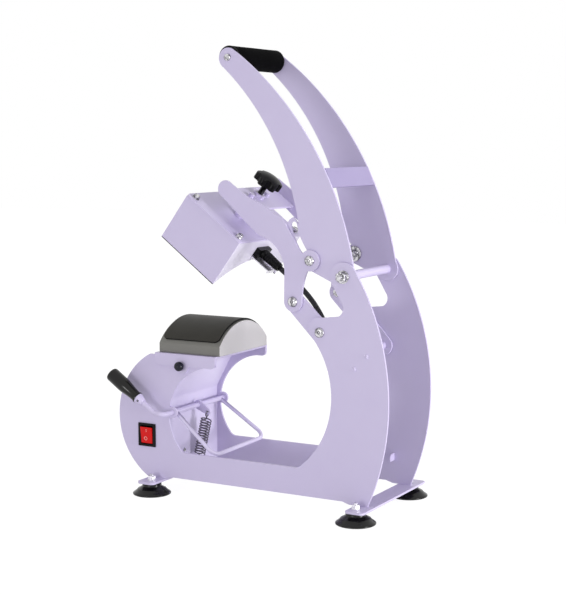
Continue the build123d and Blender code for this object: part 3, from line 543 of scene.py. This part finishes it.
def chart(piece, points, start):
    # UV along and round the tube, in braid lengths along and turns round
    mesh = piece.data
    layer = mesh.uv_layers.new(name="route")
    reach = [start]
    for before, here in zip(points, points[1:]):
        reach.append(reach[-1] + (here - before).length / mm)
    for face in mesh.polygons:
        seen = []
        for corner in face.loop_indices:
            spot = mesh.vertices[mesh.loops[corner].vertex_index].co
            near = min(range(len(points)), key=lambda i: (points[i] - spot).length)
            ahead = (points[min(near + 1, len(points) - 1)] - points[max(near - 1, 0)]).normalized()
            side = ahead.cross(Vector((0, 0, 1))).normalized()
            out = spot - points[near]
            turn = atan2(out.dot(side.cross(ahead)), out.dot(side)) / (2 * pi)
            seen.append((corner, reach[near] / lead["braid"], turn))
        first = seen[0][2]
        for corner, run, turn in seen:
            layer.data[corner].uv = (run, turn - round(turn - first))
    mesh.materials.clear()
    mesh.materials.append(finishes["lead_sleeve"])
    return reach[-1]


def makeLead():
    line = routePoints()
    high, low = lead["cuts"]
    first = next(i for i, p in enumerate(line) if p.z < high * mm)
    second = next(i for i, p in enumerate(line) if p.z < low * mm)
    start = 0.0
    lengths = (line[: first + 1], line[first : second + 1], line[second:])
    for number, (points, (lower, upper)) in enumerate(zip(lengths, lead["bodies"]), 1):
        piece = leadLength(f"heaterLead{number}", points)
        start = chart(piece, points, start)
        still = points[-1]
        if lower == "base":
            still = points[0] + (points[12] - points[0]).normalized() * lead["settled"] * mm
        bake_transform(piece)
        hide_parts("heater_lead")
        run = sum((q - p).length for p, q in zip(points, points[1:]))
        print("lead length", number, round(run, 4))


makeLead()
print("lead made")

# folded and cut sheet parts keep their solids' shape, with the edges eased
sheets = {
    "base": [
        ("side_plate_right", 0.5), ("side_plate_left", 0.5), ("foot_bar_front", 0.5),
        ("foot_bar_rear", 0.5), ("cross_panel", 0.3), ("front_cover", 0.3), ("platen_saddle", 0.5),
        ("stop_block", 0.4),
    ],
    "tension_lever": [("spring_lug", 0.4)],
    "main_lever": [("lever_arm_right", 0.5), ("lever_arm_left", 0.5), ("lever_brace", 0.4)],
    "rocker": [("rocker_bar_right", 0.5), ("rocker_bar_left", 0.5)],
    "carriage": [("cheek_right", 0.5), ("cheek_left", 0.5), ("carriage_bridge", 0.4)],
    "head": [("head_housing", 0.9), ("head_lid", 0.6), ("gland_bracket", 0.3)],
}


def camel(name):
    first, *rest = name.split("_")
    return first + "".join(word.capitalize() for word in rest)


slotOf = {row["node"]: row["material_slot"] for row in frame["record"]["subparts"]}
repainted = {
    # the cross panel's paler lilac is painted light; the cap bail's is its own paler tone
    "clamp_knob": "navy", "guide_pins": "lilac_paint", "cap_bail": "pale",
    # the lever brace wears painted shade, a darker copy of the lilac
    "lever_brace": "shaded", "cross_panel": "pale", "gland_bracket": "satinZinc",
}


def dressSolid(name, edge, body):
    finish = repainted.get(name, slotOf[name])
    return dress(copyOf(name), camel(name), finish, body, (name,), edge)


def paint(piece, finish, chosen):
    # a second finish on the faces for which chosen(face) holds
    piece.data.materials.append(extras[finish])
    for face in piece.data.polygons:
        if chosen(face):
            face.material_index = 1


for body, parts in sheets.items():
    for name, edge in parts:
        piece = dressSolid(name, edge, body)
        if name == "head_housing":
            # its arched end plates are painted paler than the rest, as painted light where they face the
            # light
            lengthwise = headFrame.to_3x3() @ Vector((0, 1, 0))
            paint(piece, "endPlate", lambda face: abs(face.normal.dot(lengthwise)) > 0.95)
print("sheet parts made")

# round and moulded parts keep their solids' shape, smoothed
moulded = {
    "base": [
        ("lead_grommet", 0.4), ("switch_housing", 0.6), ("power_inlet", 0.6), ("spring_anchor", 0),
        ("relay_module", 1.0), ("control_board", 0.2), ("display_window", 0.3),
    ],
    "clamp_knob": [("clamp_knob", 0.5)],
    "switch_rocker": [("switch_rocker", 0.7)],
    "button_1": [("push_button_1", 0)],
    "button_2": [("push_button_2", 0)],
    "button_3": [("push_button_3", 0)],
    "tension_lever": [("tension_shaft", 0.4), ("cap_bail", 0)],
    "main_lever": [("grip_tube", 0), ("arm_spacer", 0)],
    "rocker": [("rocker_tie", 0.4)],
    "head": [("heating_platen", 1.0), ("heater_mat", 0), ("insulation", 0), ("guide_pins", 0.5)],
    "pressure_knob": [("pressure_knob", 0.9)],
}
for body, parts in moulded.items():
    for name, edge in parts:
        dressSolid(name, edge, body)
print("moulded parts made")

# fasteners, from profiles in mm about their own axis; z 0 is the plate they sit on
bolts = {
    "plateOut": 66.0,
    "pivots": {
        "linkBolts": ("link_bolts", "carriage", (70.0, 272.9), -6.8),
        "slotBolts": ("slot_bolts", "carriage", (94.2, 326.3), -8.7),
        "rockerPivots": ("rocker_pivots", "base", (108.8, 236.0), -6.8),
    },
    "axle": (141.7, 307.8),
    "grip": (-27.7, 583.3),
    "armOut": 62.5,
    "feet": [(x, y) for y in (-142.8, 167.1) for x in (-79.0, 79.0)],
    "barTop": 19.0,
    "lid": [(x, t) for x in (-73.0, 73.0) for t in (-41.0, 41.0)],
    "lidTop": 70.0,
    "screws": [(157.7, 193.3), (174.8, 210.2)],
    "panelScrew": (22.0, -127.25, 51.0),
}


def socketHead(radius, high, flats, deep):
    # the profile of a low round head with a hexagon socket, from its rim to its middle
    return [
        (radius, 0), (radius, 0.16 * high), (0.97 * radius, 0.42 * high), (0.86 * radius, 0.72 * high),
        (0.7 * radius, 0.92 * high), (0.56 * radius, high), (flats / 2 + 0.4, high),
        (flats / 2, high - 0.3), (flats / 2, high - deep), (0, high - deep - 0.3),
    ]


def pivotBolt(name, node, body, place, nutTop):
    low = nutTop - 5.0
    profile = [(0, low), (4.7, low), (5.0, low + 0.3), (5.0, nutTop - 0.3), (4.7, nutTop)]
    if node == "slot_bolts":
        # a washer under the nut and the bush that runs in the slot
        washerTop = nutTop + 1.2
        profile += [(10.5, nutTop), (10.5, washerTop), (4.0, washerTop), (4.0, -3.0), (3.0, -3.0)]
    else:
        profile.append((3.0, nutTop))
    profile += [(3.0, 0)] + socketHead(6.8, 3.8, 4.0, 2.4)
    # the nut and the socket are hexagons
    made = moved(turned(profile, (5.0, 2.0)), crossways(bolts["plateOut"], *place))
    dress(bothSides(made), name, "zinc", body, (node,), 0.15)


for name, (node, body, place, nutTop) in bolts["pivots"].items():
    pivotBolt(name, node, body, place, nutTop)


def nutStack(washer, flats, nutHigh, stud, studHigh):
    # washer, hexagon nut and the end of the thread, from the plate outwards
    rim, thick = washer
    half, top = flats / 2, thick + nutHigh
    rings = [(stud, top - 0.3)]
    for turn in range(int((studHigh - thick - nutHigh) / 0.6)):
        level = top + 0.6 * turn
        rings += [(stud - 0.45, level + 0.1), (stud, level + 0.4)]
    return [
        (rim, 0), (rim, thick - 0.25), (rim - 0.3, thick), (half, thick), (half, top - 0.5),
        (half - 0.5, top), (stud + 0.6, top), *rings, (stud - 0.7, studHigh), (0, studHigh),
    ]


def shank(radius, deep):
    return [(0, -deep), (radius, -deep), (radius, 0)]


def twisted(place, angle):
    # a bolt's place, turned by an angle of its own about its axis
    return Matrix.Translation(put(*place)) @ Matrix.Rotation(angle, 4, "Z")


def leverAxle():
    made = turned(shank(4.0, bolts["plateOut"]) + nutStack((8.4, 1.6), 13.0, 6.5, 4.0, 10.6), (6.5,))
    made = bothSides(moved(made, crossways(bolts["plateOut"], *bolts["axle"])))
    dress(made, "leverAxle", "zinc", "base", ("lever_axle",), 0.15)


def gripBolts():
    made = turned(shank(4.0, 22.5) + socketHead(4.9, 2.8, 3.0, 1.8), (1.5,))
    made = bothSides(moved(made, crossways(bolts["armOut"], *bolts["grip"])))
    dress(made, "gripBolts", "zinc", "main_lever", ("grip_bolts",), 0.15)


def footBolts():
    studs = []
    for x, y in bolts["feet"]:
        stud = turned(shank(3.9, 9.0) + nutStack((6.4, 1.0), 10.0, 5.0, 3.0, 8.0), (5.0,))
        studs.append(moved(stud, twisted((x, y, bolts["barTop"]), 0.3 * x * y / 9000)))
    dress(joined(*studs), "footBolts", "satinZinc", "base", ("foot_bolts",), 0.15)


def headBolts():
    washer = [(5.0, 0), (5.0, 0.8), (4.8, 1.0), (4.0, 1.0)]
    cap = [(4.0, 4.4), (3.6, 5.0), (3.0, 5.0), (2.6, 4.6), (0, 4.6)]
    caps = []
    for x, t in bolts["lid"]:
        made = turned(shank(2.5, 60.0) + washer + cap, (4.0,))
        caps.append(moved(made, headFrame @ twisted((x, t, bolts["lidTop"]), 0.2 * (x + t) / 50)))
    dress(joined(*caps), "headBolts", "zinc", "head", ("head_bolts",), 0.12)


def panHead():
    dome = [(2.7, 0), (2.7, 0.5), (2.4, 1.2), (1.6, 1.7), (1.0, 1.8), (0.7, 1.0), (0, 0.8)]
    return turned(shank(1.5, 6.0) + dome, steps=32)


def smallScrews():
    screws = [moved(panHead(), crossways(bolts["plateOut"], *place)) for place in bolts["screws"]]
    dress(joined(*screws), "plateScrews", "pale", "base", ("small_screws",), 0)
    rearwards = Matrix.Translation(put(*bolts["panelScrew"])) @ Matrix.Rotation(-pi / 2, 4, "X")
    dress(moved(panHead(), rearwards), "panelScrew", "zinc", "base", ("small_screws",), 0)


leverAxle()
gripBolts()
footBolts()
headBolts()
smallScrews()
print("fasteners made")

# hand grips
handles = {
    "axis": (-27.7, 583.3),
    "tubeRadius": 10.0,
    "foamHalf": 57.5,
    "foamRadius": 15.1,
    "capHalf": 59.1,
    "capRadius": 15.2,
    "elbow": (86.0, -133.5, 113.8),
    "gripEnd": (86.0, -201.9, 160.8),
    "gripBore": [(0, 47.0), (3.5, 47.0)],
    "gripOutside": [
        (3.5, 31.5), (8.0, 31.5), (8.2, 32.0), (8.1, 32.8), (7.3, 33.2), (7.3, 37.0), (7.5, 41.0),
        (8.2, 47.0), (9.0, 52.0), (9.5, 56.0), (9.7, 60.0), (9.7, 80.6), (9.5, 82.2), (8.9, 83.4),
        (7.8, 84.2), (5.0, 84.6), (0, 84.8),
    ],
    "ferrule": [
        (3.5, 20.5), (4.4, 20.5), (4.8, 20.9), (7.2, 30.2), (7.3, 31.1), (6.9, 31.5), (3.5, 31.5),
        (3.5, 20.5),
    ],
    "ferruleScrewAt": 26.5,
    "ferruleScrew": [(0, 4.2), (1.4, 4.2), (1.4, 6.6), (1.2, 6.8), (0.7, 6.8), (0.7, 6.1), (0, 6.1)],
}


def foamGrip():
    bore, radius, half = handles["tubeRadius"], handles["foamRadius"], handles["foamHalf"]
    side = [(radius - 0.1, -half / 2), (radius, 0), (radius - 0.1, half / 2)]  # waisted a little
    end = [(radius, half - 0.8), (radius - 0.4, half), (bore, half)]
    start = [(r, -h) for r, h in reversed(end)]
    foam = moved(turned(start + side + end + start[:1], steps=64), crossways(0, *handles["axis"]))
    dress(foam, "foamGrip", "black_foam", "main_lever", ("lever_grip",), 0)
    rim, cap = handles["capRadius"], handles["capHalf"]
    ring = [(bore, half), (rim - 0.4, half), (rim, half + 0.4), (rim, cap - 0.4), (rim - 0.4, cap)]
    ring += [(bore, cap), (bore, half)]
    caps = bothSides(moved(turned(ring, steps=64), crossways(0, *handles["axis"])))
    dress(caps, "gripCaps", "black_plastic", "main_lever", (), 0)


def tensionGrip():
    place = along(handles["elbow"], handles["gripEnd"])
    grip = moved(turned(handles["gripBore"] + handles["gripOutside"], steps=64), place)
    dress(grip, "tensionGrip", "gloss", "tension_lever", ("tension_grip",), 0)
    ferrule = moved(turned(handles["ferrule"], steps=48), place)
    dress(ferrule, "tensionFerrule", "lilac_paint", "tension_lever", ("tension_ferrule",), 0)
    across = Matrix.Translation(put(0, 0, handles["ferruleScrewAt"])) @ Matrix.Rotation(pi / 2, 4, "Y")
    pin = moved(turned(handles["ferruleScrew"], steps=24), place @ across)
    dress(pin, "ferruleScrew", "darkSteel", "tension_lever", (), 0)


foamGrip()
tensionGrip()
print("handles made")

# suction feet with a stepped skirt
foot = {
    "underside": [(0, 4.0), (12.0, 3.4), (22.0, 0.5), (25.0, 0.0), (25.8, 0.5)],
    "skirt": [
        (26.0, 1.4), (25.6, 2.3), (22.5, 4.4), (20.2, 6.4), (19.4, 7.6), (18.6, 7.9), (16.6, 8.9),
        (14.6, 10.2),
    ],
    "neck": [(13.4, 10.9), (13.0, 11.6), (13.0, 15.2), (12.6, 15.8), (0, 15.8)],
}


def suctionFeet():
    profile = foot["underside"] + foot["skirt"] + foot["neck"]
    feet = [moved(turned(profile, steps=64), Matrix.Translation(put(x, y, 0))) for x, y in bolts["feet"]]
    dress(joined(*feet), "suctionFeet", "black_rubber", "base", ("suction_feet",), 0, smooth=50.0)


suctionFeet()
print("feet made")

# the lower platen: painted casting, a paler rear face that is partly its own bare machined metal and partly
# painted light, silicone pad with a black welt
bed = {
    "arcCentreZ": 154.8,
    "castingEdge": 1.4,
    "padEdge": 0.9,
}


def makeBed():
    casting = dressSolid("lower_platen", bed["castingEdge"], "base")
    paint(casting, "rearFaceBareAndPaintedLight", lambda face: face.normal.y > 0.9)

    def onWelt(face):
        out = Vector((face.center.x, 0, face.center.z - bed["arcCentreZ"] * mm)).normalized()
        return face.normal.dot(out) < 0.7

    paint(dressSolid("platen_pad", bed["padEdge"], "base"), "trim", onWelt)


makeBed()
print("bed made")

# rocker switch marks, inlet pins, head trim, gland and screw
details = {
    "switch": (66.5, -158.5, 77.2),
    "switchTilt": 7.0,
    "markDepth": (2.3, 2.7),
    "barMark": ((0.4, 0.9), (4.6, 8.8)),
    "ringMark": (2.1, 2.6),
    "ringPlace": (0, -1.2, -4.6),
    "inlet": (-155.0, 64.0),
    "pinReach": (-67.5, -52.0),
    "pins": ((-7, -2), (0, 2), (7, -2)),
    "trimHalf": 49.6,
    "trimSides": ((79.8, 81.5), (-81.5, -79.8)),
}


def switchMarks():
    tilt = Matrix.Rotation(radians(details["switchTilt"]), 4, "Y")
    low, high = details["markDepth"]
    inner, outer = details["ringMark"]
    bar = boxOf(details["markDepth"], *details["barMark"])
    ring = turned([(inner, low), (outer, low), (outer, high), (inner, high), (inner, low)], steps=32)
    ring = moved(ring, Matrix.Translation(put(*details["ringPlace"])) @ Matrix.Rotation(pi / 2, 4, "Y"))
    marks = moved(joined(bar, ring), Matrix.Translation(put(*details["switch"])) @ tilt)
    dress(marks, "switchMarks", "mark", "switch_rocker", (), 0)


def inletPins():
    y, z = details["inlet"]
    pins = [
        boxOf(details["pinReach"], (y + dy - 1.0, y + dy + 1.0), (z + dz - 2.0, z + dz + 2.0))
        for dy, dz in details["pins"]
    ]
    dress(joined(*pins), "inletPins", "spring_steel", "base", (), 0.3)


def headTrim():
    half = details["trimHalf"]
    strips = [boxOf(side, (-half, half), (-0.8, 0.1)) for side in details["trimSides"]]
    dress(moved(joined(*strips), headFrame), "headTrim", "trim", "head", (), 0)


gland = {
    "block": ((-5.0, 25.0), (50.0, 57.0), (44.0, 56.5)),
    "axis": (10.0, 50.0),
    "bore": 3.5,
    "root": 57.0,
    "tip": 87.0,
    "ribs": 8,
    "ribRadius": 7.1,
    "ribTaper": 0.14,
    "ribPitch": 3.4,
    "ribRelief": 0.35,
}


def leadGland():
    bore, root, tip = gland["bore"], gland["root"], gland["tip"]
    profile = [(bore, root), (gland["ribRadius"] + 0.3, root)]
    for number in range(gland["ribs"]):
        radius = gland["ribRadius"] - gland["ribTaper"] * number
        level = root + 1.4 + gland["ribPitch"] * number
        groove = radius - gland["ribRelief"]
        profile += [(radius, level), (radius, level + 2.4), (groove, level + 2.7), (groove, level + 3.1)]
    profile += [(5.8, tip - 0.8), (5.4, tip), (bore, tip), (bore, root)]
    x, height = gland["axis"]
    rearwards = Matrix.Translation(put(x, 0, height)) @ Matrix.Rotation(-pi / 2, 4, "X")
    sleeve = moved(turned(profile, steps=40), rearwards)
    made = moved(joined(boxOf(*gland["block"]), sleeve), headFrame)
    dress(made, "leadGland", "black_plastic", "head", ("lead_gland",), 0.5)


screw = {
    "foot": 62.0,
    "top": 122.0,
    "radius": 4.0,
    "rootRadius": 3.5,
    "threadStart": 75.0,
    "pitch": 1.25,
    "threads": 38,
    "collars": [
        (4.0, 63.9), (9.0, 63.9), (9.0, 67.9), (4.0, 67.9), (4.0, 70.1), (8.6, 70.1), (9.0, 70.5),
        (9.0, 73.7), (8.6, 74.1), (4.0, 74.1),
    ],
}


def pressureScrew():
    profile = [(0, screw["foot"]), (screw["radius"], screw["foot"])] + screw["collars"]
    for number in range(screw["threads"]):
        level = screw["threadStart"] + screw["pitch"] * number
        profile += [(screw["rootRadius"], level), (screw["radius"], level + 0.6)]
    profile += [(screw["radius"], screw["top"]), (0, screw["top"])]
    made = moved(turned(profile, steps=32), headFrame)
    dress(made, "pressureScrew", "steel", "pressure_knob", ("pressure_screw",), 0)


# the return spring, wound with a screw turn, and its two eyes
coil = {
    "top": (0.0, -102.5, 103.5),
    "foot": (0.0, -119.5, 30.0),
    "radius": 7.2,
    "wire": 0.95,
    "pitch": 3.8,
    "turns": 14,
    "eye": 3.6,
    "perTurn": 28,
    "still": 0.5,
}


def wireRing(radius, angle, steps, rise=0.0):
    # a round wire swept about local Z, rising by rise mm in each step
    made = bmesh.new()
    ring = bmesh.ops.create_circle(made, segments=10, radius=coil["wire"] * mm, cap_ends=bool(rise))
    stand = Matrix.Translation(put(radius, 0, 0)) @ Matrix.Rotation(pi / 2, 4, "X")
    bmesh.ops.transform(made, matrix=stand, verts=ring["verts"])
    bmesh.ops.spin(
        made, geom=made.verts[:] + made.edges[:] + made.faces[:], cent=(0, 0, 0), axis=(0, 0, 1),
        dvec=(0, 0, rise * mm), angle=angle, steps=steps, use_merge=not rise,
    )
    bmesh.ops.remove_doubles(made, verts=made.verts, dist=0.002 * mm)
    bmesh.ops.recalc_face_normals(made, faces=made.faces)
    return made


def returnSpring():
    wire = coil["wire"]
    place = along(coil["top"], coil["foot"])
    reach = (Vector(coil["foot"]) - Vector(coil["top"])).length
    high = coil["pitch"] * coil["turns"]
    first = (reach - high) / 2
    steps = coil["turns"] * coil["perTurn"]
    wound = wireRing(coil["radius"], 2 * pi * coil["turns"], steps, high / steps)
    parts = [moved(wound, Matrix.Translation(put(0, 0, first)))]
    for eyeAt, barAt in ((coil["eye"], first), (reach - coil["eye"], first + high)):
        ring = wireRing(coil["eye"], 2 * pi, 36)
        parts.append(moved(ring, Matrix.Translation(put(0, 0, eyeAt)) @ Matrix.Rotation(pi / 2, 4, "X")))
        low, top = sorted((barAt, eyeAt + (coil["eye"] if barAt > eyeAt else -coil["eye"])))
        stem = turned([(0, low), (wire, low), (wire, top), (0, top)], steps=10)
        bar = turned([(0, 0), (wire, 0), (wire, coil["radius"]), (0, coil["radius"])], steps=10)
        parts += [stem, moved(bar, Matrix.Translation(put(0, 0, barAt)) @ Matrix.Rotation(pi / 2, 4, "Y"))]
    # the coil is given no body here and its place is baked into its mesh
    whole = moved(joined(*parts), place)
    spring = dress(whole, "tensionSpring", "spring_steel", "", ("tension_spring",), 0, smooth=60.0)
    foot, top = put(*coil["foot"]), put(*coil["top"])
    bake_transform(spring)


returnSpring()
switchMarks()
inletPins()
headTrim()
leadGland()
pressureScrew()
print("details made")
